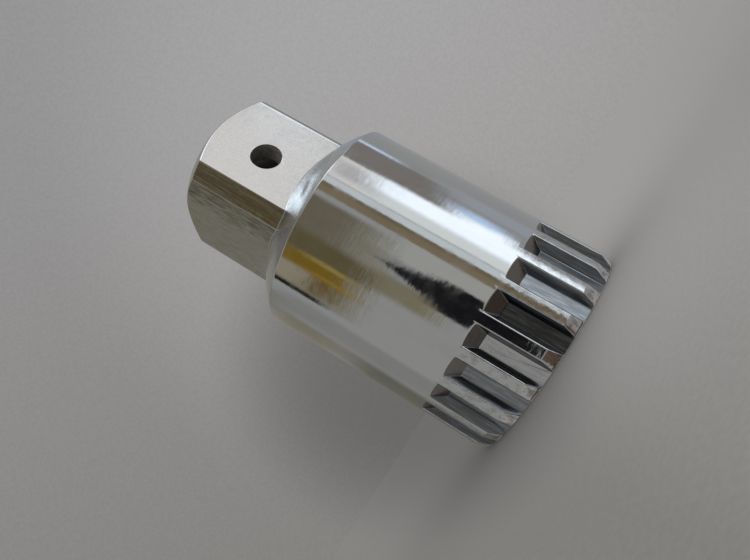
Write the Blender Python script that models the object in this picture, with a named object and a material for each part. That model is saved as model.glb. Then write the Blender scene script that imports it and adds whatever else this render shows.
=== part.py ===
# Bottom bracket tool for splined cartridge units, one turned and milled piece
# of chrome-plated steel. It stands on its tooth tips: Z is the tool's axis,
# z = 0 is the plane of the tips, and the square head is at the top.
# Sizes are in metres and angles in degrees.

import math

import bmesh
import bpy
from mathutils import Matrix, Vector

# Ring of splines
SPLINE_COUNT = 20
SPLINE_DIAMETER = 0.0320
SLOT_DEPTH = 0.0013
SLOT_MOUTH_SHARE = 0.6764
SLOT_FLANK_ANGLE = 30.0
SLOT_STRAIGHT_LENGTH = 0.0088
SLOT_RAMP_LENGTH = 0.0022
SPLINE_TURN = 10.7
TIP_LEAD_LENGTH = 0.0020
TIP_LEAD_DEPTH = 0.0008
TIP_ROUND = 0.0006

# Barrel, and the slightly domed shoulder between its rim and the head's flats
BARREL_LENGTH = 0.0373
RIM_RADIUS = 0.00035
SHOULDER_RISE = 0.0049
SHOULDER_DOME_RADIUS = 0.0200

# Square head
HEAD_LENGTH = 0.0157
HEAD_FLATS = 0.0190
HEAD_CORNER_RISE = 0.00255
HEAD_CHAMFER_ANGLE = 35.5
HEAD_END_LAND = 0.0005

# Clearance bore for the crank spindle, inside the ring and short of the rim
RING_WALL = 0.0027
BORE_END_WALL = 0.0053
BORE_POINT_ANGLE = 118.0
BORE_LEAD = 0.0005

# Half-inch drive socket, broached over its pilot hole
DRIVE_SQUARE = 0.0127
DRIVE_CLEARANCE = 0.00015
DRIVE_CORNER_RADIUS = 0.0010
DRIVE_DEPTH = 0.0175
DRIVE_LEAD = 0.0013
BROACH_STOCK = 0.00042

# Cross hole for the drive's ball, a little off the middle of the front flat
BALL_HOLE_DIAMETER = 0.0046
BALL_HOLE_FROM_END = 0.0092
BALL_HOLE_OFFSET = -0.0010

# Smoothness of round forms, and how far a cutter passes a face
TURNED_FACETS = 120
HOLE_FACETS = 32
RIM_FACETS = 3
DOME_FACETS = 5
CORNER_FACETS = 4
OVERCUT = 0.0010

# Sizes that follow from the ones above
SPLINE_RADIUS = SPLINE_DIAMETER / 2
FLOOR_RADIUS = SPLINE_RADIUS - SLOT_DEPTH
SLOT_MOUTH_WIDTH = SLOT_MOUTH_SHARE * math.tau * SPLINE_RADIUS / SPLINE_COUNT
BORE_RADIUS = FLOOR_RADIUS - RING_WALL
BORE_DEPTH = BARREL_LENGTH - BORE_END_WALL
SHOULDER_TOP = BARREL_LENGTH + SHOULDER_RISE
TOOL_LENGTH = SHOULDER_TOP + HEAD_LENGTH
DRIVE_HOLE = DRIVE_SQUARE + DRIVE_CLEARANCE
PILOT_RADIUS = DRIVE_HOLE / 2 - BROACH_STOCK
DRIVE_LEAD_RADIUS = DRIVE_HOLE / 2 + DRIVE_LEAD


def clear_scene():
    for item in list(bpy.data.objects):
        bpy.data.objects.remove(item, do_unlink=True)


def steel_finish():
    material = bpy.data.materials.new("chrome_plate")
    material.use_nodes = True
    shader = material.node_tree.nodes["Principled BSDF"]
    shader.inputs["Base Color"].default_value = (0.72, 0.73, 0.74, 1.0)
    shader.inputs["Metallic"].default_value = 1.0
    shader.inputs["Roughness"].default_value = 0.18
    return material


def object_from(name, bm):
    # Turns a finished bmesh into an object of its own
    bmesh.ops.recalc_face_normals(bm, faces=bm.faces)
    mesh = bpy.data.meshes.new(name)
    bm.to_mesh(mesh)
    bm.free()
    made = bpy.data.objects.new(name, mesh)
    bpy.context.collection.objects.link(made)
    return made


def hide_helper(helper):
    helper.hide_render = True
    helper.display_type = "WIRE"


def combine(target, helper, operation):
    modifier = target.modifiers.new(helper.name, "BOOLEAN")
    modifier.operation = operation
    modifier.solver = "EXACT"
    modifier.object = helper
    hide_helper(helper)


def rounded_corner(before, corner, after, radius, facets):
    # Points of an arc that rounds one corner of a turned outline
    corner = Vector(corner)
    to_before = (Vector(before) - corner).normalized()
    to_after = (Vector(after) - corner).normalized()
    half_angle = to_before.angle(to_after) / 2
    middle = (to_before + to_after).normalized()
    centre = corner + middle * (radius / math.sin(half_angle))
    reach = radius / math.tan(half_angle)
    start = corner + to_before * reach - centre
    end = corner + to_after * reach - centre
    arc = []
    for step in range(facets + 1):
        arm = start.lerp(end, step / facets).normalized() * radius
        arc.append(tuple(centre + arm))
    return arc


def turned(name, outline):
    # Spins an outline of (radius, height) points that starts and ends on the axis
    bm = bmesh.new()
    verts = [bm.verts.new((radius, 0.0, height)) for radius, height in outline]
    edges = [bm.edges.new(pair) for pair in zip(verts, verts[1:])]
    bmesh.ops.spin(
        bm,
        geom=verts + edges,
        cent=(0.0, 0.0, 0.0),
        axis=(0.0, 0.0, 1.0),
        angle=math.tau,
        steps=TURNED_FACETS,
        use_merge=True,
    )
    bmesh.ops.remove_doubles(bm, verts=bm.verts, dist=1e-7)
    return object_from(name, bm)


def square_bar(name, across, bottom, top):
    # A square bar whose sides face the X and Y directions
    bm = bmesh.new()
    place = Matrix.Translation((0.0, 0.0, (bottom + top) / 2))
    size = Matrix.Diagonal((across, across, top - bottom, 1.0))
    bmesh.ops.create_cube(bm, size=1.0, matrix=place @ size)
    return object_from(name, bm)


def shoulder_arc():
    # The dome's outline, from the rim over the flats' foot and on into the head
    rim = Vector((SPLINE_RADIUS, BARREL_LENGTH))
    foot = Vector((HEAD_FLATS / 2, SHOULDER_TOP))
    chord = foot - rim
    inward = Vector((-chord.y, chord.x)).normalized()
    sink = math.sqrt(SHOULDER_DOME_RADIUS**2 - (chord.length / 2) ** 2)
    centre = (rim + foot) / 2 + inward * sink
    start = math.atan2(rim.y - centre.y, rim.x - centre.x)
    end = math.atan2(foot.y - centre.y, foot.x - centre.x) + OVERCUT / SHOULDER_DOME_RADIUS
    arc = []
    for step in range(DOME_FACETS + 1):
        angle = start + (end - start) * step / DOME_FACETS
        arm = Vector((math.cos(angle), math.sin(angle))) * SHOULDER_DOME_RADIUS
        arc.append(tuple(centre + arm))
    return arc


def barrel_blank():
    # Barrel, tapered tooth tips and domed shoulder, which ends inside the head
    dome = shoulder_arc()
    tip = (SPLINE_RADIUS - TIP_LEAD_DEPTH, 0.0)
    lead_end = (SPLINE_RADIUS, TIP_LEAD_LENGTH)
    outline = [(0.0, 0.0)]
    outline += rounded_corner((0.0, 0.0), tip, lead_end, TIP_ROUND, RIM_FACETS)
    outline.append(lead_end)
    outline += rounded_corner(lead_end, dome[0], dome[1], RIM_RADIUS, RIM_FACETS)
    outline += dome[1:]
    outline.append((0.0, dome[-1][1]))
    return turned("tool_body", outline)


def square_head():
    # Round bar with a turned end chamfer, left with four milled flats.
    # It starts inside the barrel, so the flats run out on the shoulder's dome.
    bar_radius = HEAD_FLATS / 2 + HEAD_CORNER_RISE
    socket_corner = DRIVE_HOLE / 2 * math.sqrt(2) - DRIVE_CORNER_RADIUS * (math.sqrt(2) - 1)
    end_radius = socket_corner + HEAD_END_LAND
    chamfer_drop = math.tan(math.radians(HEAD_CHAMFER_ANGLE)) * (bar_radius - end_radius)
    root = BARREL_LENGTH - OVERCUT
    outline = [
        (0.0, root),
        (bar_radius, root),
        (bar_radius, TOOL_LENGTH - chamfer_drop),
        (end_radius, TOOL_LENGTH),
        (0.0, TOOL_LENGTH),
    ]
    head = turned("square_head", outline)
    flats = square_bar("head_flats", HEAD_FLATS, root - OVERCUT, TOOL_LENGTH + OVERCUT)
    combine(head, flats, "INTERSECT")
    return head


def turned_bores():
    # Spindle bore with its drill point, pilot hole and the socket's conical mouth
    point_rise = (BORE_RADIUS - PILOT_RADIUS) / math.tan(math.radians(BORE_POINT_ANGLE / 2))
    mouth_depth = DRIVE_LEAD_RADIUS - PILOT_RADIUS
    outline = [
        (0.0, -OVERCUT),
        (BORE_RADIUS + BORE_LEAD + OVERCUT, -OVERCUT),
        (BORE_RADIUS, BORE_LEAD),
        (BORE_RADIUS, BORE_DEPTH),
        (PILOT_RADIUS, BORE_DEPTH + point_rise),
        (PILOT_RADIUS, TOOL_LENGTH - mouth_depth),
        (DRIVE_LEAD_RADIUS + OVERCUT, TOOL_LENGTH + OVERCUT),
        (0.0, TOOL_LENGTH + OVERCUT),
    ]
    return turned("turned_bores", outline)


def drive_broach():
    # The broached square, its four corners eased
    bottom = TOOL_LENGTH - DRIVE_DEPTH
    broach = square_bar("drive_broach", DRIVE_HOLE, bottom, TOOL_LENGTH + OVERCUT)
    bm = bmesh.new()
    bm.from_mesh(broach.data)
    corners = [edge for edge in bm.edges if edge.verts[0].co.xy == edge.verts[1].co.xy]
    bmesh.ops.bevel(
        bm,
        geom=corners,
        offset=DRIVE_CORNER_RADIUS,
        segments=CORNER_FACETS,
        profile=0.5,
        affect="EDGES",
    )
    bm.to_mesh(broach.data)
    bm.free()
    return broach


def ball_hole_drill():
    # Drilled from the front flat into the socket, square to the tool's axis
    length = HEAD_FLATS / 2 + OVERCUT
    height = TOOL_LENGTH - BALL_HOLE_FROM_END
    bm = bmesh.new()
    lie_down = Matrix.Rotation(math.radians(90), 4, "X")
    place = Matrix.Translation((BALL_HOLE_OFFSET, -length / 2, height)) @ lie_down
    bmesh.ops.create_cone(
        bm,
        cap_ends=True,
        segments=HOLE_FACETS,
        radius1=BALL_HOLE_DIAMETER / 2,
        radius2=BALL_HOLE_DIAMETER / 2,
        depth=length,
        matrix=place,
    )
    return object_from("ball_hole_drill", bm)


def slot_section():
    # Half widths and radii of one slot's floor and of its flanks past the barrel
    mouth_half = SLOT_MOUTH_WIDTH / 2
    mouth_radius = math.sqrt(SPLINE_RADIUS**2 - mouth_half**2)
    flank_slope = math.tan(math.radians(SLOT_FLANK_ANGLE))
    floor_half = mouth_half - flank_slope * (mouth_radius - FLOOR_RADIUS)
    outer_radius = SPLINE_RADIUS + OVERCUT
    outer_half = floor_half + flank_slope * (outer_radius - FLOOR_RADIUS)
    return floor_half, FLOOR_RADIUS, outer_half, outer_radius


def spline_cutters():
    # Twenty trapezoid slots, open at the tips and ending in a flat ramp that
    # climbs from the slot's floor to the barrel's surface
    floor_half, floor_radius, outer_half, outer_radius = slot_section()
    ramp_slope = SLOT_RAMP_LENGTH / SLOT_DEPTH
    bm = bmesh.new()
    section = [
        (-floor_half, -floor_radius),
        (floor_half, -floor_radius),
        (outer_half, -outer_radius),
        (-outer_half, -outer_radius),
    ]
    verts = [bm.verts.new((x, y, -OVERCUT)) for x, y in section]
    base = bm.faces.new(verts)
    grown = bmesh.ops.extrude_face_region(bm, geom=[base])
    for item in grown["geom"]:
        if isinstance(item, bmesh.types.BMVert):
            item.co.z = SLOT_STRAIGHT_LENGTH + ramp_slope * (-item.co.y - floor_radius)
    bmesh.ops.rotate(
        bm,
        verts=bm.verts,
        cent=(0.0, 0.0, 0.0),
        matrix=Matrix.Rotation(math.radians(SPLINE_TURN), 3, "Z"),
    )
    pitch = math.tau / SPLINE_COUNT
    bmesh.ops.spin(
        bm,
        geom=bm.verts[:] + bm.edges[:] + bm.faces[:],
        cent=(0.0, 0.0, 0.0),
        axis=(0.0, 0.0, 1.0),
        angle=pitch * (SPLINE_COUNT - 1),
        steps=SPLINE_COUNT - 1,
        use_duplicate=True,
    )
    return object_from("spline_cutters", bm)


def build_tool():
    tool = barrel_blank()
    combine(tool, square_head(), "UNION")
    combine(tool, turned_bores(), "DIFFERENCE")
    combine(tool, drive_broach(), "DIFFERENCE")
    combine(tool, ball_hole_drill(), "DIFFERENCE")
    combine(tool, spline_cutters(), "DIFFERENCE")
    tool.data.materials.append(steel_finish())
    tool.data.shade_smooth()
    tool.data.set_sharp_from_angle(angle=math.radians(25))


clear_scene()
build_tool()
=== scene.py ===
import math
import bpy
import bmesh
from mathutils import Matrix, Vector


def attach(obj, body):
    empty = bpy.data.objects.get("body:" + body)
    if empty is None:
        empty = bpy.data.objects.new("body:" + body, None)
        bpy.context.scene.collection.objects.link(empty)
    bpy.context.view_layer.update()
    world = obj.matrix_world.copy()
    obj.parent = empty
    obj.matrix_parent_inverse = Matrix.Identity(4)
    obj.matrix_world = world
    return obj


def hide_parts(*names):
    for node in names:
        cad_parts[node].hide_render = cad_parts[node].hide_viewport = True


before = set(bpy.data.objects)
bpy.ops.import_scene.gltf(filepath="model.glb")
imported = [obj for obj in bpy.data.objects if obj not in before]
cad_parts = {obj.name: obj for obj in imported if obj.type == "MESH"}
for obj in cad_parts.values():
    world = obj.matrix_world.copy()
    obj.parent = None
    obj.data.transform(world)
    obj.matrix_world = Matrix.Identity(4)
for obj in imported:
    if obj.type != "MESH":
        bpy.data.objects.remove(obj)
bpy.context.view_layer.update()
print("frame loaded")


# Camera, at the photograph's viewing angle
cameraSet = {
    "place": (-0.0540031, -0.0783791, 0.0102813),
    "turn": (111.2239, 55.6057, -5.9105),  # degrees, XYZ
    "lens": 29.943,
    "sensor": 36,
    "shift": (0.0905, 0.0976),
    "clip": (0.001, 50),
}

cameraData = bpy.data.cameras.new("photoCamera")
cameraData.sensor_width = cameraSet["sensor"]
cameraData.lens = cameraSet["lens"]
cameraData.shift_x, cameraData.shift_y = cameraSet["shift"]
cameraData.clip_start, cameraData.clip_end = cameraSet["clip"]
photoCamera = bpy.data.objects.new("photoCamera", cameraData)
bpy.context.scene.collection.objects.link(photoCamera)
photoCamera.location = cameraSet["place"]
photoCamera.rotation_euler = [math.radians(a) for a in cameraSet["turn"]]
bpy.context.scene.camera = photoCamera
bpy.context.scene.view_settings.view_transform = "Standard"


# Small helpers for meshes
weldDistance = 1e-7
cornerSteps = 6


def meshObject(name, bm):
    bmesh.ops.recalc_face_normals(bm, faces=bm.faces)
    mesh = bpy.data.meshes.new(name)
    bm.to_mesh(mesh)
    bm.free()
    obj = bpy.data.objects.new(name, mesh)
    bpy.context.scene.collection.objects.link(obj)
    return obj


def spunSolid(name, outline, steps, start=0.0):
    # outline: (radius, height) pairs from the axis, round and back to the axis
    bm = bmesh.new()
    ring = [bm.verts.new((r, 0, z)) for r, z in outline]
    for a, b in zip(ring, ring[1:]):
        bm.edges.new((a, b))
    bmesh.ops.spin(bm, geom=bm.verts[:] + bm.edges[:], cent=(0, 0, 0), axis=(0, 0, 1),
                   angle=math.tau, steps=steps, use_merge=True)
    bmesh.ops.remove_doubles(bm, verts=bm.verts, dist=weldDistance)
    turn = Matrix.Rotation(math.radians(start), 3, "Z")
    bmesh.ops.rotate(bm, cent=(0, 0, 0), matrix=turn, verts=bm.verts)
    return meshObject(name, bm)


def barSolid(name, width, low, high, cornerRound=0.0):
    bm = bmesh.new()
    bmesh.ops.create_cube(bm, size=1)
    bmesh.ops.scale(bm, vec=(width, width, high - low), verts=bm.verts)
    bmesh.ops.translate(bm, vec=(0, 0, (low + high) / 2), verts=bm.verts)
    if cornerRound:
        upright = [e for e in bm.edges if abs(e.verts[0].co.z - e.verts[1].co.z) > weldDistance]
        bmesh.ops.bevel(bm, geom=upright, offset=cornerRound, offset_type="OFFSET",
                        segments=cornerSteps, profile=0.5, affect="EDGES", material=-1)
    return meshObject(name, bm)


def applied(obj):
    # the object's mesh with its modifiers on it
    graph = bpy.context.evaluated_depsgraph_get()
    mesh = bpy.data.meshes.new_from_object(obj.evaluated_get(graph), depsgraph=graph)
    obj.modifiers.clear()
    obj.data = mesh


def combine(target, helper, operation):
    step = target.modifiers.new("combine", "BOOLEAN")
    step.operation = operation
    step.solver = "EXACT"
    step.object = helper
    applied(target)
    bpy.data.objects.remove(helper)


# The tool: one piece, finer than the CAD solid it stands for
tool = {
    "splines": 20,
    "radius": 0.0160,
    "slotDepth": 0.0013,
    "slotMouth": 0.0034,
    "slotFlank": 30,  # degrees
    "slotStraight": 0.0088,
    "slotRamp": 0.0022,
    "slotTurn": 10.7,
    "aboveSlots": 0.0006,  # plain barrel before its outline's next point
    "tipLead": (0.0020, 0.0008),  # length, depth
    "tipRound": 0.0006,
    "barrel": 0.0373,
    "rimRound": 0.00035,
    "roundSteps": 5,
    "shoulderRise": 0.0049,
    "domeRadius": 0.0200,
    "domeSteps": 14,
    "domeSink": 0.05,  # radians of the dome that lie inside the head
    "headLength": 0.0157,
    "flats": 0.0190,
    "cornerRise": 0.00255,
    "endChamfer": 35.5,
    "endLand": 0.0005,
    "bore": (0.0120, 0.0320),  # radius, depth
    "boreLead": (0.0015, 0.0005),  # how much wider, how deep
    "drillPoint": 118,
    "boreFacets": 120,
    "pilot": 0.006005,
    "socket": (0.01285, 0.0175, 0.0010),  # width, depth, corner round
    "socketMouth": 0.007725,
    "ballHole": (0.0023, 0.0092, -0.0010),  # radius, from the end, off the middle
    "holeCutter": (0.012, -0.008, 64),  # length, middle, facets
    "overcut": 0.001,  # how far a cutter reaches past what it cuts
    "edgeRound": 0.00011,
    "edgeSteps": 2,
    "weld": (2e-6, 1e-6),  # before and after the edges are rounded
    "roundFrom": 17,  # degrees between the faces of an edge that is rounded
    "creaseFrom": 38,
    "facets": 240,
    "facetStart": 0.95,  # degrees, keeps the facets' lines clear of the slots' edges
}


def filletPoints(before, corner, after, radius):
    # an arc in place of a corner of an outline
    a = (Vector(before) - Vector(corner)).normalized()
    b = (Vector(after) - Vector(corner)).normalized()
    half = a.angle(b) / 2
    centre = Vector(corner) + (a + b).normalized() * (radius / math.sin(half))
    start = Vector(corner) + a * (radius / math.tan(half)) - centre
    sweep = math.pi - 2 * half
    if a.x * b.y - a.y * b.x > 0:
        sweep = -sweep
    points = []
    for k in range(tool["roundSteps"] + 1):
        t = sweep * k / tool["roundSteps"]
        points.append((centre.x + start.x * math.cos(t) - start.y * math.sin(t),
                       centre.y + start.x * math.sin(t) + start.y * math.cos(t)))
    return points


def domePoints():
    rim = Vector((tool["radius"], tool["barrel"]))
    foot = Vector((tool["flats"] / 2, tool["barrel"] + tool["shoulderRise"]))
    chord = foot - rim
    inward = Vector((-chord.y, chord.x)).normalized()
    radius = tool["domeRadius"]
    centre = (rim + foot) / 2 + inward * math.sqrt(radius ** 2 - (chord.length / 2) ** 2)
    start = math.atan2(rim.y - centre.y, rim.x - centre.x)
    end = math.atan2(foot.y - centre.y, foot.x - centre.x) + tool["domeSink"]
    points = []
    for k in range(tool["domeSteps"] + 1):
        t = start + (end - start) * k / tool["domeSteps"]
        points.append((centre.x + radius * math.cos(t), centre.y + radius * math.sin(t)))
    return points


def toolBlank():
    dome = domePoints()
    tip = (tool["radius"] - tool["tipLead"][1], 0)
    leadEnd = (tool["radius"], tool["tipLead"][0])
    plain = (tool["radius"], tool["slotStraight"] + tool["slotRamp"] + tool["aboveSlots"])
    outline = [(0, 0)]
    outline += filletPoints((0, 0), tip, leadEnd, tool["tipRound"])
    outline += [leadEnd, plain]
    outline += filletPoints(plain, dome[0], dome[1], tool["rimRound"])
    outline += dome[1:]
    outline.append((0, dome[-1][1]))
    return spunSolid("chromeTool", outline, tool["facets"], tool["facetStart"])


def headTop():
    return tool["barrel"] + tool["shoulderRise"] + tool["headLength"]


def headEndRadius():
    # the end face reaches a little past the socket's corners
    width, _, cornerRound = tool["socket"]
    return width / 2 * math.sqrt(2) - cornerRound * (math.sqrt(2) - 1) + tool["endLand"]


def toolHead(top):
    barRadius = tool["flats"] / 2 + tool["cornerRise"]
    endRadius = headEndRadius()
    drop = math.tan(math.radians(tool["endChamfer"])) * (barRadius - endRadius)
    overcut = tool["overcut"]
    root = tool["barrel"] - overcut
    outline = [(0, root), (barRadius, root), (barRadius, top - drop), (endRadius, top), (0, top)]
    head = spunSolid("head", outline, tool["facets"])
    combine(head, barSolid("headFlats", tool["flats"], root - overcut, top + overcut), "INTERSECT")
    return head


def toolBores(top):
    radius, depth = tool["bore"]
    wider, lead = tool["boreLead"]
    pilot, mouth, overcut = tool["pilot"], tool["socketMouth"], tool["overcut"]
    rise = (radius - pilot) / math.tan(math.radians(tool["drillPoint"] / 2))
    outline = [(0, -overcut), (radius + wider, -overcut), (radius, lead), (radius, depth),
               (pilot, depth + rise), (pilot, top - (mouth - pilot)),
               (mouth + overcut, top + overcut), (0, top + overcut)]
    return spunSolid("bores", outline, tool["boreFacets"])


def toolSlots():
    # one slot cutter, its end leant to the ramp, then spun to the whole ring
    floor = tool["radius"] - tool["slotDepth"]
    flare = math.tan(math.radians(tool["slotFlank"]))
    overcut = tool["overcut"]
    outer = tool["radius"] + overcut
    mouth = tool["slotMouth"] / 2
    half = mouth - flare * (math.sqrt(tool["radius"] ** 2 - mouth ** 2) - floor)
    outerHalf = half + flare * (outer - floor)
    bm = bmesh.new()
    corners = ((floor, -half), (outer, -outerHalf), (outer, outerHalf), (floor, half))
    face = bm.faces.new([bm.verts.new((x, y, -overcut)) for x, y in corners])
    far = bmesh.ops.extrude_face_region(bm, geom=[face])["geom"]
    farVerts = [v for v in far if isinstance(v, bmesh.types.BMVert)]
    bmesh.ops.translate(bm, vec=(0, 0, overcut + tool["slotStraight"]), verts=farVerts)
    slope = tool["slotRamp"] / tool["slotDepth"]
    for v in farVerts:
        v.co.z += (v.co.x - floor) * slope
    bmesh.ops.recalc_face_normals(bm, faces=bm.faces)
    turn = Matrix.Rotation(math.radians(tool["slotTurn"] - 90), 3, "Z")
    bmesh.ops.rotate(bm, cent=(0, 0, 0), matrix=turn, verts=bm.verts)
    bmesh.ops.spin(bm, geom=bm.verts[:] + bm.edges[:] + bm.faces[:], cent=(0, 0, 0),
                   axis=(0, 0, 1), angle=math.tau * (1 - 1 / tool["splines"]),
                   steps=tool["splines"] - 1, use_duplicate=True)
    return meshObject("slots", bm)


def ballHole(top):
    radius, fromEnd, offset = tool["ballHole"]
    length, middle, facets = tool["holeCutter"]
    bm = bmesh.new()
    bmesh.ops.create_cone(bm, cap_ends=True, segments=facets, radius1=radius, radius2=radius,
                          depth=length)
    lay = Matrix.Rotation(math.pi / 2, 3, "X")
    bmesh.ops.rotate(bm, cent=(0, 0, 0), matrix=lay, verts=bm.verts)
    bmesh.ops.translate(bm, vec=(offset, middle, top - fromEnd), verts=bm.verts)
    return meshObject("ballHole", bm)


def buildTool():
    top = headTop()
    obj = toolBlank()
    combine(obj, toolHead(top), "UNION")
    combine(obj, toolBores(top), "DIFFERENCE")
    width, depth, cornerRound = tool["socket"]
    socket = barSolid("socket", width, top - depth, top + tool["overcut"], cornerRound)
    combine(obj, socket, "DIFFERENCE")
    combine(obj, ballHole(top), "DIFFERENCE")
    combine(obj, toolSlots(), "DIFFERENCE")
    print("tool cut:", len(obj.data.polygons), "faces")
    return obj


chromeTool = buildTool()


def roundEdges(obj):
    bm = bmesh.new()
    bm.from_mesh(obj.data)
    before, after = tool["weld"]
    bmesh.ops.remove_doubles(bm, verts=bm.verts, dist=before)
    bmesh.ops.dissolve_degenerate(bm, edges=bm.edges, dist=before)
    limit = math.radians(tool["roundFrom"])
    sharp = [e for e in bm.edges if e.is_manifold and e.calc_face_angle() > limit]
    bmesh.ops.bevel(bm, geom=sharp, offset=tool["edgeRound"], offset_type="OFFSET",
                    segments=tool["edgeSteps"], profile=0.5, affect="EDGES",
                    clamp_overlap=False, material=-1)
    bmesh.ops.remove_doubles(bm, verts=bm.verts, dist=after)
    bmesh.ops.recalc_face_normals(bm, faces=bm.faces)
    openEdges = [e for e in bm.edges if not e.is_manifold]
    print("rounded:", len(bm.faces), "faces,", len(openEdges), "open edges")
    bm.to_mesh(obj.data)
    bm.free()
    obj.data.shade_smooth()
    obj.data.set_sharp_from_angle(angle=math.radians(tool["creaseFrom"]))
    weigh = obj.modifiers.new("weigh", "WEIGHTED_NORMAL")
    weigh.mode = "FACE_AREA"
    weigh.keep_sharp = True
    applied(obj)


roundEdges(chromeTool)


# Node trees. Every pattern's scale is per millimetre of Object coordinates.
perMillimetre = 1000


class Nodes:
    def __init__(self, tree, coords="Object"):
        self.tree = tree
        self.coords = tree.nodes.new("ShaderNodeTexCoord").outputs[coords]

    def add(self, kind, **settings):
        node = self.tree.nodes.new(kind)
        for key, value in settings.items():
            setattr(node, key, value)
        return node

    def put(self, socket, value):
        if isinstance(value, bpy.types.NodeSocket):
            self.tree.links.new(value, socket)
        else:
            socket.default_value = value

    def mapped(self, scale=(1, 1, 1), place=(0, 0, 0)):
        node = self.add("ShaderNodeMapping")
        self.put(node.inputs["Vector"], self.coords)
        node.inputs["Scale"].default_value = scale
        node.inputs["Location"].default_value = place
        return node.outputs["Vector"]

    def split(self):
        node = self.add("ShaderNodeSeparateXYZ")
        self.put(node.inputs[0], self.coords)
        return node.outputs

    def flattened(self):
        # coordinates without their height
        return self.mapped((1, 1, 0))

    def vector(self, operation, value, factor=None):
        node = self.add("ShaderNodeVectorMath", operation=operation)
        self.put(node.inputs[0], value)
        if factor is not None:
            self.put(node.inputs["Scale"], factor)
        return node.outputs["Value" if operation == "LENGTH" else "Vector"]

    def dot(self, direction, other):
        node = self.add("ShaderNodeVectorMath", operation="DOT_PRODUCT")
        self.put(node.inputs[0], direction)
        self.put(node.inputs[1], other)
        return node.outputs["Value"]

    def noise(self, scale, detail=3, rough=0.5, place=(0, 0, 0)):
        node = self.add("ShaderNodeTexNoise")
        self.put(node.inputs["Vector"], self.mapped([s * perMillimetre for s in scale], place))
        node.inputs["Scale"].default_value = 1
        node.inputs["Detail"].default_value = detail
        node.inputs["Roughness"].default_value = rough
        return node.outputs["Fac"]

    def math(self, operation, *values):
        node = self.add("ShaderNodeMath", operation=operation)
        for socket, value in zip(node.inputs, values):
            self.put(socket, value)
        return node.outputs[0]

    def ramp(self, value, low, high, toLow=0.0, toHigh=1.0):
        node = self.add("ShaderNodeMapRange", interpolation_type="SMOOTHSTEP")
        for key, v in zip(("Value", "From Min", "From Max", "To Min", "To Max"),
                          (value, low, high, toLow, toHigh)):
            self.put(node.inputs[key], v)
        return node.outputs["Result"]

    def mix(self, factor, a, b):
        node = self.add("ShaderNodeMix", data_type="RGBA")
        self.put(node.inputs["Factor"], factor)
        for socket, value in ((node.inputs[6], a), (node.inputs[7], b)):
            self.put(socket, value if isinstance(value, bpy.types.NodeSocket) else (*value, 1))
        return node.outputs[2]

    def bump(self, height, distance, normal=None):
        node = self.add("ShaderNodeBump")
        self.put(node.inputs["Height"], height)
        node.inputs["Distance"].default_value = distance
        if normal:
            self.put(node.inputs["Normal"], normal)
        return node.outputs["Normal"]


def newMaterial(name):
    material = bpy.data.materials.new(name)
    material.use_nodes = True
    n = Nodes(material.node_tree)
    n.material = material
    n.shader = material.node_tree.nodes["Principled BSDF"]
    return n


def chrome(n, colour, roughness, normal, metallic=1.0):
    n.put(n.shader.inputs["Metallic"], metallic)
    n.put(n.shader.inputs["Base Color"], colour)
    n.put(n.shader.inputs["Roughness"], roughness)
    n.put(n.shader.inputs["Normal"], normal)
    return n.material


chromeLook = {
    "plate": (0.67, 0.67, 0.67),
    "dulled": (0.55, 0.55, 0.54),
    "scuffed": (0.27, 0.255, 0.235),
    "lands": (0.0098, 0.0118),  # heights over which the lands' rougher skin ends
    "landScuffs": (0.0095, 0.0112, 0.4),  # heights, strength
    "tipScuffs": (0.0008, 0.0026, 0.85),
    "flat": (0.72, 0.715, 0.71),
    "flatBlue": (0.55, 0.58, 0.62),
    "leftFlatPaintedShade": (0.25, 0.23, 0.17),
    "paintedHighlight": (0.94, 0.97, 1.0),
    "paintedHighlightArc": (0.00012, 0.00035),  # distances from the end's chamfer
    "paintedHighlightBorder": (0.00045, 0.0002),  # distances from the flat's right edge
    "paintedHighlightShare": 0.85,
    "roughFrom": (-5.4, -1.0),  # millimetres on the left flat, towards the forged corner
    "roughEdge": 1.6,
    "calmShare": 0.32,
    "leftSide": (-9.3, -8.8),  # millimetres, where the left flat ends inwards
    "frontSide": (-0.0094, -0.0090),
    "forged": (0.33, 0.30, 0.23),
    "forgedLight": (0.52, 0.47, 0.36),
    "slot": (0.22, 0.235, 0.255),
    "slotLight": (0.40, 0.41, 0.42),
    "slotPaintedLight": (0.66, 0.66, 0.64),
    "slotPaintedDark": (0.05, 0.048, 0.045),
    "paintedLightAt": -43,  # degrees round the ring
    "paintedDarkAt": -25,
    "oneSlot": (0.986, 0.989),  # cosines that pick a single slot
    "slotFlank": (0.13, 0.13, 0.135),
    "slotEnd": (0.22, 0.195, 0.175),
    "bore": (0.10, 0.095, 0.09),
    "boreDark": (0.055, 0.05, 0.045),
    "hole": (0.24, 0.222, 0.20),
    "holeDark": (0.15, 0.139, 0.122),
}


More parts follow.
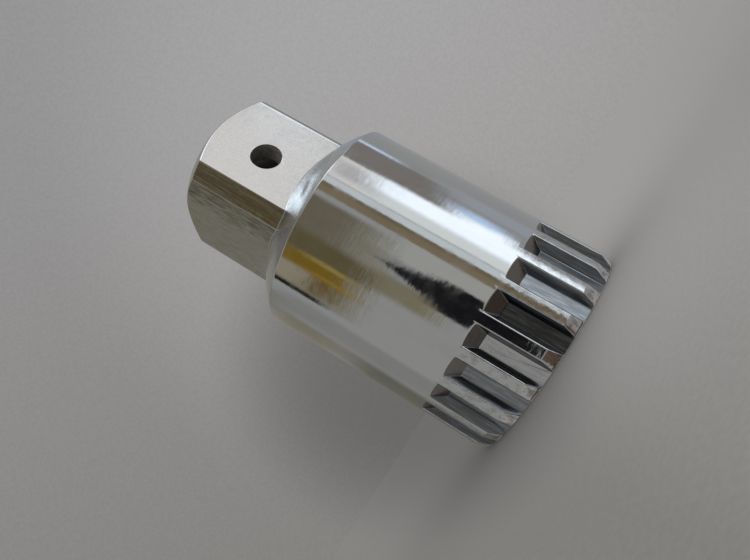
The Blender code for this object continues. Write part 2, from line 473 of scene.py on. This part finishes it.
def turnedChrome():
    n = newMaterial("turnedChrome")
    x, y, z = n.split()
    lands = n.ramp(z, *chromeLook["lands"], 3.0, 1.0)
    lines = n.noise((0.05, 0.05, 14), 2)
    broad = n.noise((0.03, 0.03, 1.3), 2)
    peel = n.noise((0.8, 0.8, 1.5), 2, 0.5)
    stain = n.ramp(n.noise((0.25, 0.25, 0.12), 4, 0.6), 0.5, 0.72)
    normal = n.bump(n.math("MULTIPLY", peel, lands), 0.000005)
    normal = n.bump(broad, 0.000004, normal)
    normal = n.bump(lines, 0.0000008, normal)
    colour = n.mix(n.math("MULTIPLY", stain, 0.35), chromeLook["plate"], chromeLook["dulled"])
    # the lands between the slots are scuffed, most of all at their tips
    scuff = n.ramp(n.noise((1.5, 1.5, 0.9), 4, 0.65, (2, 9, 4)), 0.43, 0.63)
    where = [n.ramp(z, *chromeLook[part], 0.0) for part in ("landScuffs", "tipScuffs")]
    worn = n.math("MULTIPLY", scuff, n.math("MAXIMUM", *where))
    colour = n.mix(worn, colour, chromeLook["scuffed"])
    rough = n.ramp(n.noise((0.5, 0.5, 0.5), 4, 0.65, (7, 3, 1)), 0.35, 0.75, 0.045, 0.13)
    return chrome(n, colour, rough, normal)


def domeChrome():
    n = newMaterial("domeChrome")
    lines = n.noise((0.05, 0.05, 9), 2)
    peel = n.noise((1.1, 1.1, 1.1), 3, 0.55)
    normal = n.bump(peel, 0.000008)
    normal = n.bump(lines, 0.000002, normal)
    colour = n.mix(n.ramp(peel, 0.4, 0.7, 0.0, 0.4), chromeLook["plate"], chromeLook["dulled"])
    rough = n.ramp(n.noise((0.6, 0.6, 0.6), 3), 0.3, 0.7, 0.19, 0.25)
    return chrome(n, colour, rough, normal)


def forgedSide(n):
    # the left flat is rougher beside the forged corner, and calmer away from it; the same mask places
    # the painted shade on that flat
    x, y, _ = n.split()
    reach = chromeLook["roughEdge"]
    ragged = n.ramp(n.noise((0.9, 0.9, 0.35), 4, 0.65), 0.3, 0.7, -reach, reach)
    across = n.math("ADD", n.math("MULTIPLY", y, perMillimetre), ragged)
    nearCorner = n.ramp(across, *chromeLook["roughFrom"], 1.0, 0.0)
    leftSide = n.ramp(n.math("MULTIPLY", x, perMillimetre), *chromeLook["leftSide"], 1.0, 0.0)
    return n.math("MULTIPLY", n.math("MAXIMUM", nearCorner, chromeLook["calmShare"]), leftSide)


def paintedHighlightBorders(n):
    # painted highlights: the front flat's right border and its end arc are painted brighter
    x, y, z = n.split()
    slope = 1 / math.tan(math.radians(tool["endChamfer"]))
    chamferAt = n.math("SUBTRACT", headTop() * slope + headEndRadius(), n.math("MULTIPLY", z, slope))
    inside = n.math("SUBTRACT", chamferAt, n.vector("LENGTH", n.flattened()))
    arc = n.ramp(inside, *chromeLook["paintedHighlightArc"], 1.0, 0.0)
    flatAt = tool["flats"] / 2
    halfFlat = math.sqrt((flatAt + tool["cornerRise"]) ** 2 - flatAt ** 2)
    border = n.ramp(x, *[halfFlat - distance for distance in chromeLook["paintedHighlightBorder"]])
    frontSide = n.ramp(y, *chromeLook["frontSide"], 1.0, 0.0)
    return n.math("MULTIPLY", frontSide, n.math("MAXIMUM", arc, border))


def groundFlat():
    n = newMaterial("groundFlat")
    peel = n.noise((1.3, 1.3, 1.3), 3, 0.55)
    grain = n.noise((4.5, 4.5, 4.5), 2, 0.5, (3, 1, 8))
    scratch = n.ramp(n.noise((9, 9, 0.35), 2), 0.62, 0.7)
    forged = forgedSide(n)
    streak = n.noise((3.2, 3.2, 0.45), 4, 0.65, (5, 2, 0))
    normal = n.bump(peel, 0.00002)
    normal = n.bump(scratch, 0.000002, normal)
    normal = n.bump(n.math("MULTIPLY", streak, forged), 0.00004, normal)
    mottle = n.ramp(n.noise((0.35, 0.35, 0.35), 5, 0.65), 0.5, 0.75)
    colour = n.mix(n.math("MULTIPLY", mottle, 0.4), chromeLook["flat"], chromeLook["flatBlue"])
    colour = n.mix(n.ramp(grain, 0.35, 0.7, 0.0, 0.38), colour, chromeLook["dulled"])
    # painted shade: the left flat is painted darker and browner, in streaks that grow beside the forged
    # corner
    paintedShadeStreaks = n.math("MULTIPLY", forged, n.ramp(streak, 0.38, 0.62, 0.35, 1.0))
    colour = n.mix(paintedShadeStreaks, colour, chromeLook["leftFlatPaintedShade"])
    # painted highlight on the front flat's right border and end arc
    paintedHighlightMask = n.math("MULTIPLY", paintedHighlightBorders(n), chromeLook["paintedHighlightShare"])
    colour = n.mix(paintedHighlightMask, colour, chromeLook["paintedHighlight"])
    rough = n.ramp(n.noise((1.1, 1.1, 1.1), 3, 0.5, (2, 5, 3)), 0.3, 0.7, 0.12, 0.21)
    return chrome(n, colour, rough, normal)


def forgedCorner():
    n = newMaterial("forgedCorner")
    streak = n.noise((4.5, 4.5, 0.14), 3, 0.55)
    pits = n.noise((2.5, 2.5, 1.2), 3, 0.55)
    normal = n.bump(streak, 0.00003)
    normal = n.bump(pits, 0.000006, normal)
    colour = n.mix(n.ramp(streak, 0.45, 0.7), chromeLook["forged"], chromeLook["forgedLight"])
    rough = n.ramp(pits, 0.3, 0.7, 0.16, 0.3)
    return chrome(n, colour, rough, normal)


def slotChrome():
    n = newMaterial("slotChrome")
    streak = n.noise((2.6, 2.6, 0.3), 4, 0.6)
    pits = n.noise((4.0, 4.0, 2.5), 3, 0.6)
    normal = n.bump(streak, 0.000005)
    normal = n.bump(pits, 0.000003, normal)
    colour = n.mix(n.ramp(streak, 0.35, 0.75), chromeLook["slot"], chromeLook["slotLight"])
    # painted reflections: one slot is painted brighter and its neighbour almost black
    outward = n.vector("NORMALIZE", n.flattened())
    for look, at in (("slotPaintedLight", "paintedLightAt"), ("slotPaintedDark", "paintedDarkAt")):
        angle = math.radians(chromeLook[at])
        toSlot = n.dot(outward, (math.sin(angle), -math.cos(angle), 0))
        near = n.ramp(toSlot, *chromeLook["oneSlot"])
        paintedSlotPatch = n.math("MULTIPLY", near, n.ramp(streak, 0.3, 0.6, 0.7, 1.0))
        colour = n.mix(paintedSlotPatch, colour, chromeLook[look])
    rough = n.ramp(pits, 0.3, 0.7, 0.12, 0.22)
    return chrome(n, colour, rough, normal)


def slotFlankChrome():
    n = newMaterial("slotFlankChrome")
    streak = n.noise((3.0, 3.0, 0.3), 4, 0.6)
    normal = n.bump(streak, 0.000004)
    colour = n.mix(n.ramp(streak, 0.4, 0.7), chromeLook["slotFlank"], chromeLook["slot"])
    return chrome(n, colour, n.ramp(streak, 0.3, 0.7, 0.12, 0.2), normal)


def slotEndChrome():
    n = newMaterial("slotEndChrome")
    grain = n.noise((3.0, 3.0, 3.0), 4, 0.6)
    normal = n.bump(grain, 0.000006)
    colour = n.mix(n.ramp(grain, 0.35, 0.7, 0.0, 0.5), chromeLook["slotEnd"], chromeLook["slot"])
    rough = n.ramp(grain, 0.3, 0.7, 0.2, 0.34)
    return chrome(n, colour, rough, normal)


def boreInPaintedShade():
    # painted shade: the bores and the socket are painted far darker than steel
    n = newMaterial("boreInPaintedShade")
    lines = n.noise((0.05, 0.05, 5), 2)
    cloud = n.noise((0.3, 0.3, 0.3), 4, 0.6)
    normal = n.bump(lines, 0.00001)
    colour = n.mix(n.ramp(cloud, 0.35, 0.7), chromeLook["bore"], chromeLook["boreDark"])
    rough = n.ramp(cloud, 0.3, 0.7, 0.3, 0.45)
    return chrome(n, colour, rough, normal)


def darkHole():
    # painted shade: the ball hole's wall is painted a dull dark brown
    n = newMaterial("darkHole")
    cloud = n.noise((1.5, 1.5, 1.5), 3)
    normal = n.bump(cloud, 0.00001)
    colour = n.mix(n.ramp(cloud, 0.35, 0.7), chromeLook["hole"], chromeLook["holeDark"])
    n.put(n.shader.inputs["Specular IOR Level"], 0.1)
    return chrome(n, colour, n.ramp(cloud, 0.3, 0.7, 0.6, 0.75), normal, 0.0)


# Which faces take which skin: margins in metres, then limits of a face's normal
facePick = {
    "headFoot": 0.001,  # above the barrel
    "overRim": 0.0002,
    "slotEnd": 0.0003,  # above the ramps
    "rampStart": 0.0002,  # below the straight part's end
    "boreWall": 0.0006,  # outside the bore
    "boreInside": 0.0012,
    "onFlat": 1e-5,
    "onCorner": 1e-4,
    "onBarrel": 1.5e-4,
    "onFloor": 2e-4,
    "holeDeep": 0.0063,
    "holeWide": 0.0024,
    "onHole": 1e-5,
    "square": 0.999,  # along x or y
    "corner": 0.97,  # outwards from the axis
    "slotFlank": 0.7,
    "inward": -0.3,
    "dome": 0.3,  # along z
    "ramp": -0.4,
    "tipFace": -0.6,
    "outerFlat": -0.9,  # along y
}


def inBallHole(c, n):
    radius, fromEnd, offset = tool["ballHole"]
    near = c.y < -facePick["holeDeep"] and abs(c.x - offset) < facePick["holeWide"]
    fromAxis = math.hypot(c.x - offset, c.z - (headTop() - fromEnd))
    return near and n.y > facePick["outerFlat"] and fromAxis < radius + facePick["onHole"]


def inSlots(c, n, r, outward):
    end = tool["slotStraight"] + tool["slotRamp"] + facePick["slotEnd"]
    inner = tool["bore"][0] + facePick["boreWall"]
    floor = tool["radius"] - tool["slotDepth"] + facePick["onFloor"]
    outer = tool["radius"] - facePick["onBarrel"]
    if c.z >= end or n.z <= facePick["tipFace"] or not inner < r < outer:
        return False
    return c.z > tool["tipLead"][0] or r < floor or outward < facePick["slotFlank"]


def skinOf(c, n):
    # by a face's centre and normal
    r = math.hypot(c.x, c.y)
    outward = (n.x * c.x + n.y * c.y) / max(r, 1e-9)
    headFoot = tool["barrel"] + facePick["headFoot"]
    onHead = c.z > headFoot
    flatAt = tool["flats"] / 2
    if onHead and inBallHole(c, n):
        return darkHole
    onFlat = max(abs(c.x), abs(c.y)) > flatAt - facePick["onFlat"]
    if onHead and onFlat and max(abs(n.x), abs(n.y)) > facePick["square"]:
        return groundFlat
    onCorner = r > flatAt + tool["cornerRise"] - facePick["onCorner"]
    if onHead and onCorner and outward > facePick["corner"]:
        return forgedCorner
    if inSlots(c, n, r, outward):
        if n.z < facePick["ramp"] and c.z > tool["slotStraight"] - facePick["rampStart"]:
            return slotEndChrome
        return slotFlankChrome if outward < facePick["slotFlank"] else slotChrome
    boreWall = tool["bore"][0] + facePick["boreWall"]
    inBore = r < boreWall - facePick["boreInside"] and c.z < headFoot
    if outward < facePick["inward"] or inBore:
        return boreInPaintedShade
    overRim = tool["barrel"] + facePick["overRim"] < c.z < headFoot + tool["shoulderRise"]
    return domeChrome if overRim and n.z > facePick["dome"] else turnedChrome


def dressTool(obj):
    skins = (turnedChrome, groundFlat, forgedCorner, slotChrome, boreInPaintedShade, slotEndChrome,
             domeChrome, darkHole, slotFlankChrome)
    for make in skins:
        obj.data.materials.append(make())
    for face in obj.data.polygons:
        face.material_index = skins.index(skinOf(face.center, face.normal))


dressTool(chromeTool)
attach(chromeTool, "root")
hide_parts("tool_body")
print("tool dressed")


# Floor and backdrop share one tone, by direction from the photograph's camera, with painted light and
# shade in it: lighter towards one side, darker away from the middle, painted shadows and a painted
# light patch
backdrop = {
    "low": (0.278, 0.267, 0.250),
    "high": (0.410, 0.404, 0.410),
    "lean": (0.432, -0.435, 0.790),  # towards the side painted lighter
    # painted darker away from this middle direction, by edgeLoss
    "middle": (0.680, 0.697, 0.228),
    "edgeLoss": 0.23,
    "paintedShadowsAndLight": [  # direction, edge, loss; painted shadow where loss is above zero, painted light where below
        ((0.477, 0.875, 0.085), 0.949, 0.5),  # painted shadow behind and below the tool
        ((0.694, 0.647, -0.317), 0.943, -0.15),  # painted light on the floor beside the splines
    ],
    "floorLift": 1.075,
    "floor": (4, 96),  # radius, segments
    "grain": 0.032,  # fine noise of floor and backdrop
}


def backdropTone(n, direction, grain):
    share = n.ramp(n.dot(direction, backdrop["lean"]), -0.85, 0.85)
    tone = n.mix(share, backdrop["low"], backdrop["high"])
    keep = n.ramp(n.dot(direction, backdrop["middle"]), 0.83, 1.0, 1 - backdrop["edgeLoss"], 1.0)
    for centre, edge, loss in backdrop["paintedShadowsAndLight"]:
        keep = n.math("MULTIPLY", keep, n.ramp(n.dot(direction, centre), edge, 1.0, 1.0, 1 - loss))
    speck = backdrop["grain"]
    keep = n.math("MULTIPLY", keep, n.ramp(grain, 0.3, 0.7, 1 - speck, 1 + speck))
    return n.vector("SCALE", tone, keep)


def layFloor():
    bm = bmesh.new()
    radius, segments = backdrop["floor"]
    bmesh.ops.create_circle(bm, cap_ends=True, segments=segments, radius=radius)
    floor = meshObject("floor", bm)
    n = newMaterial("paleFloor")
    cloud = n.noise((0.012, 0.012, 0.012), 3)
    away = n.vector("NORMALIZE", n.mapped(place=[-c for c in cameraSet["place"]]))
    tone = backdropTone(n, away, n.noise((2.2, 2.2, 2.2)))
    # the floor's colour carries the same painted light and shade
    n.put(n.shader.inputs["Base Color"], n.vector("SCALE", tone, backdrop["floorLift"]))
    n.put(n.shader.inputs["Roughness"], n.ramp(cloud, 0.3, 0.7, 0.75, 0.85))
    n.put(n.shader.inputs["Specular IOR Level"], 0.1)
    floor.data.materials.append(n.material)
    floor.visible_glossy = False


# Studio: the soft panels and dark corners that the chrome shows.
# Angles are in degrees: azimuth from -Y towards +X, then elevation.
studio = {
    "room": (0.225, 0.228, 0.23),
    "gain": 1.5,
    "plainLight": (0.92, 0.92, 0.92),
    "panels": [
        # azimuth, half width, edge, lowest, highest, edge, narrowing, colour
        ("behindLow", 180, 30, 8, -40, 9, 4, 0.0, (0.10, 0.097, 0.08)),
        ("behindMid", 180, 30, 8, 9, 17, 3, 0.0, (0.15, 0.14, 0.11)),
        ("slate", 180, 36, 8, 18, 54, 4, 0.0, (0.17, 0.168, 0.145)),
        ("slateHigh", 180, 60, 10, 54, 92, 4, 0.0, (0.10, 0.095, 0.085)),
        ("leftWall", -133, 14, 6, -40, 17, 2, 0.0, (0.175, 0.175, 0.17)),
        ("leftWallTop", -145, 17, 5, 17, 36, 3, 0.0, (0.138, 0.131, 0.106)),
        ("cornerSide", 124, 16, 5, 16, 38, 4, 0.0, (0.20, 0.225, 0.27)),
        ("paleLow", -90, 29, 3, -40, 10.5, 2, 0.0, (0.225, 0.225, 0.222)),
        ("oliveSide", -53, 10, 4, 3.5, 11, 1.5, 0.0, (0.15, 0.137, 0.09)),
        ("brownLow", -60, 50, 3, 10, 14.5, 1.5, 0.0, (0.17, 0.163, 0.13)),
        ("brownAbove", -60, 50, 3, 13.5, 24, 1.5, 0.0, (0.108, 0.096, 0.07)),
        ("darkBrown", -58, 11, 5, 10.5, 24, 1.5, 0.0, (0.080, 0.066, 0.033)),
        ("goldCloth", -78, 9.5, 3.5, 11.8, 24, 1.8, 0.0, (0.128, 0.080, 0.010)),
        ("goldGlint", -68.5, 2.2, 1.6, 11.4, 16.5, 1.6, 0.0, (0.20, 0.155, 0.045)),
        ("goldStreak", -82, 2.0, 1.5, 10.8, 15.5, 1.6, 0.0, (0.18, 0.115, 0.015)),
        ("goldShade", -94, 9, 4, 12, 15.2, 1.4, 0.0, (0.095, 0.066, 0.020)),
        ("rimPale", -95, 11, 3, 15.2, 24, 1.0, 0.0, (0.20, 0.183, 0.135)),
        ("darkGap", -110, 2.5, 1.2, 13, 40, 1, 0.0, (0.012, 0.010, 0.008)),
        ("darkCeiling", -57, 20, 4, 20, 60, 2, 0.0, (0.10, 0.088, 0.062)),
        ("greyEdge", -14, 11, 2, -20, 10.5, 2, 0.0, (0.27, 0.275, 0.26)),
        ("lensShade", -34.5, 15, 1.5, -7, 4.5, 1.5, 0.0, (0.006, 0.006, 0.007)),
        ("lensTip", -34, 21, 1.5, 3, 11, 1.0, 2.0, (0.006, 0.006, 0.007)),
        ("goldLine", 0, 4.0, 1.0, -30, 40, 2, 0.0, (0.15, 0.122, 0.08)),
        ("brownLine", 5, 2.0, 0.8, -30, 40, 2, 0.0, (0.12, 0.098, 0.062)),
        ("paleLines", 10.5, 3.5, 0.8, -30, 40, 2, 0.0, (0.43, 0.475, 0.495)),
        ("brownRight", 58, 16, 2, 8.5, 19, 2, 0.0, (0.155, 0.145, 0.138)),
        ("windowTop", 29, 14, 1.5, 13, 50, 3, 0.0, (0.56, 0.547, 0.535)),
        ("windowSide", 50, 10, 3, 20, 28, 2, 0.0, (0.60, 0.63, 0.66)),
        ("windowShade", 29, 9, 5, 14.5, 18.5, 1, 0.0, (0.36, 0.36, 0.37)),
        ("window", 29, 14, 1.5, -40, 15, 1.5, 0.0, (0.55, 0.58, 0.59)),
        ("windowCore", 35.5, 8.5, 3.5, -40, 14, 2, 0.0, (0.86, 0.95, 1.05)),
        ("windowFoot", 46, 8, 3, 1, 7, 1.5, 0.0, (0.88, 0.96, 1.03)),
        ("blueFringe", 55, 5, 4, 2.5, 7, 2.5, 0.0, (0.40, 0.53, 0.74)),
        ("skyHigh", 47, 11, 3, 53, 76, 3, 0.0, (1.5, 1.75, 1.95)),
        ("skyLow", 37, 6, 2, 36, 56, 3, 0.0, (1.1, 1.25, 1.4)),
        ("blueStreak", 76, 2.2, 1.3, 13.5, 30, 1.5, 0.0, (0.42, 0.53, 0.66)),
        ("paleRight", 74, 8, 3, -40, 8, 3, 0.0, (0.25, 0.27, 0.30)),
        ("lowPale", 0, 181, 1, -90, -30, 5, 0.0, (0.25, 0.247, 0.243)),
        ("lowBrown", -15, 26, 4, -56, -30, 4, 0.0, (0.085, 0.055, 0.043)),
        ("underside", 0, 181, 1, -90, -56, 3, 0.0, (0.07, 0.062, 0.055)),
    ],
}


def buildWorld():
    world = bpy.data.worlds.new("studio")
    bpy.context.scene.world = world
    world.use_nodes = True
    world.node_tree.nodes.clear()
    n = Nodes(world.node_tree, "Generated")
    x, y, z = n.split()
    azimuth = n.math("DEGREES", n.math("ARCTAN2", x, n.math("MULTIPLY", y, -1.0)))
    elevation = n.math("DEGREES", n.math("ARCSINE", z))
    seen = studio["room"]
    for name, at, half, edge, low, high, soft, narrowing, colour in studio["panels"]:
        away = n.math("ABSOLUTE", n.math("WRAP", n.math("SUBTRACT", azimuth, at), 180.0, -180.0))
        if narrowing:
            away = n.math("ADD", away, n.math("MULTIPLY", n.math("MAXIMUM", elevation, 0.0), narrowing))
        inside = n.ramp(away, half - edge, half + edge, 1.0, 0.0)
        above = n.ramp(elevation, low - soft, low + soft)
        below = n.ramp(elevation, high - soft, high + soft, 1.0, 0.0)
        seen = n.mix(n.math("MULTIPLY", inside, n.math("MULTIPLY", above, below)), seen, colour)
    paper = backdropTone(n, n.coords, n.noise((0.25, 0.25, 0.25)))
    shown = {"camera": paper, "metal": seen, "plain": (*studio["plainLight"], 1)}
    lights = {}
    for key, colour in shown.items():
        node = n.add("ShaderNodeBackground")
        n.put(node.inputs["Color"], colour)
        node.inputs["Strength"].default_value = studio["gain"] if key == "metal" else 1.0
        lights[key] = node.outputs[0]
    rays = n.add("ShaderNodeLightPath").outputs
    mirrored = n.math("ADD", rays["Is Glossy Ray"], rays["Is Transmission Ray"])
    blend = lights["plain"]
    for factor, light in ((mirrored, "metal"), (rays["Is Camera Ray"], "camera")):
        node = n.add("ShaderNodeMixShader")
        n.put(node.inputs[0], factor)
        n.put(node.inputs[1], blend)
        n.put(node.inputs[2], lights[light])
        blend = node.outputs[0]
    n.put(n.add("ShaderNodeOutputWorld").inputs["Surface"], blend)


layFloor()
buildWorld()
print("studio built")
